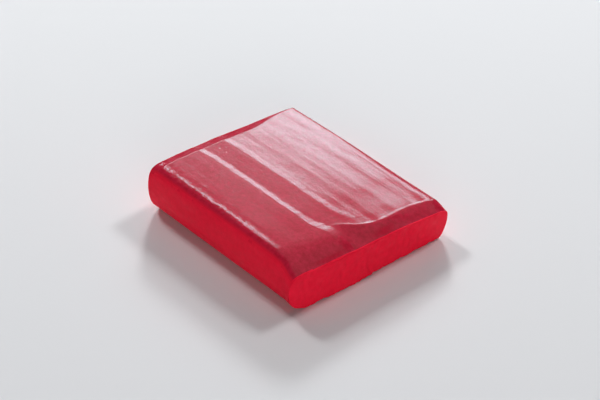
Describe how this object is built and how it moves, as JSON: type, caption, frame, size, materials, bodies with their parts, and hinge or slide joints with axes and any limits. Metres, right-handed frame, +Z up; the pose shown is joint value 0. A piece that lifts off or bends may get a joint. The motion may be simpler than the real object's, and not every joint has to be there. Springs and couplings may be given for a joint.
{
  "type": "clay bar",
  "caption": "Flat slab of soft detailing clay with rounded sides, a flat base, and a top that falls to the knife-cut end.",
  "frame": {"origin": "under the middle of the slab, on the surface it rests on", "axes": "+X along the extruded strip towards the knife-cut end, +Y across it towards the thinner side, +Z up"},
  "size_m": [0.0734, 0.061, 0.0169],
  "materials": {
    "clay": "translucent red clay, satin to glossy, with draw lines along its length"
  },
  "bodies": {
    "root": {"clay_bar": "clay"}
  },
  "joints": []
}
